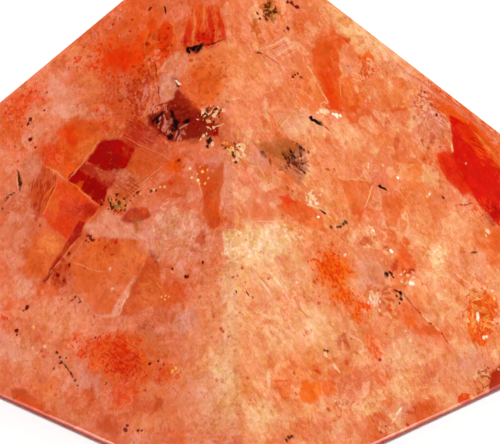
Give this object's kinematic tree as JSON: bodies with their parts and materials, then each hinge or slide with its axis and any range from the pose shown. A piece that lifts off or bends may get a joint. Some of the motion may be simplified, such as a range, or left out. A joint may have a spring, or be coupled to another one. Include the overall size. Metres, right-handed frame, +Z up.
{
  "type": "sunstone pyramid",
  "caption": "Solid square pyramid of polished orange feldspar with softly rounded ridges, a decorative stone that rests flat on its base.",
  "frame": {"origin": "middle of the square base, on the surface that the stone rests on", "axes": "+Z up towards the tip, X and Y along the sides of the base. The tip stands about 1 mm off the middle, towards -X and -Y"},
  "size_m": [0.0494, 0.0494, 0.0299],
  "materials": {
    "polished_sunstone": "polished, mottled peach and orange with red patches, dark flecks and fine metallic glints"
  },
  "bodies": {
    "root": {"pyramid": "polished_sunstone"}
  },
  "joints": []
}
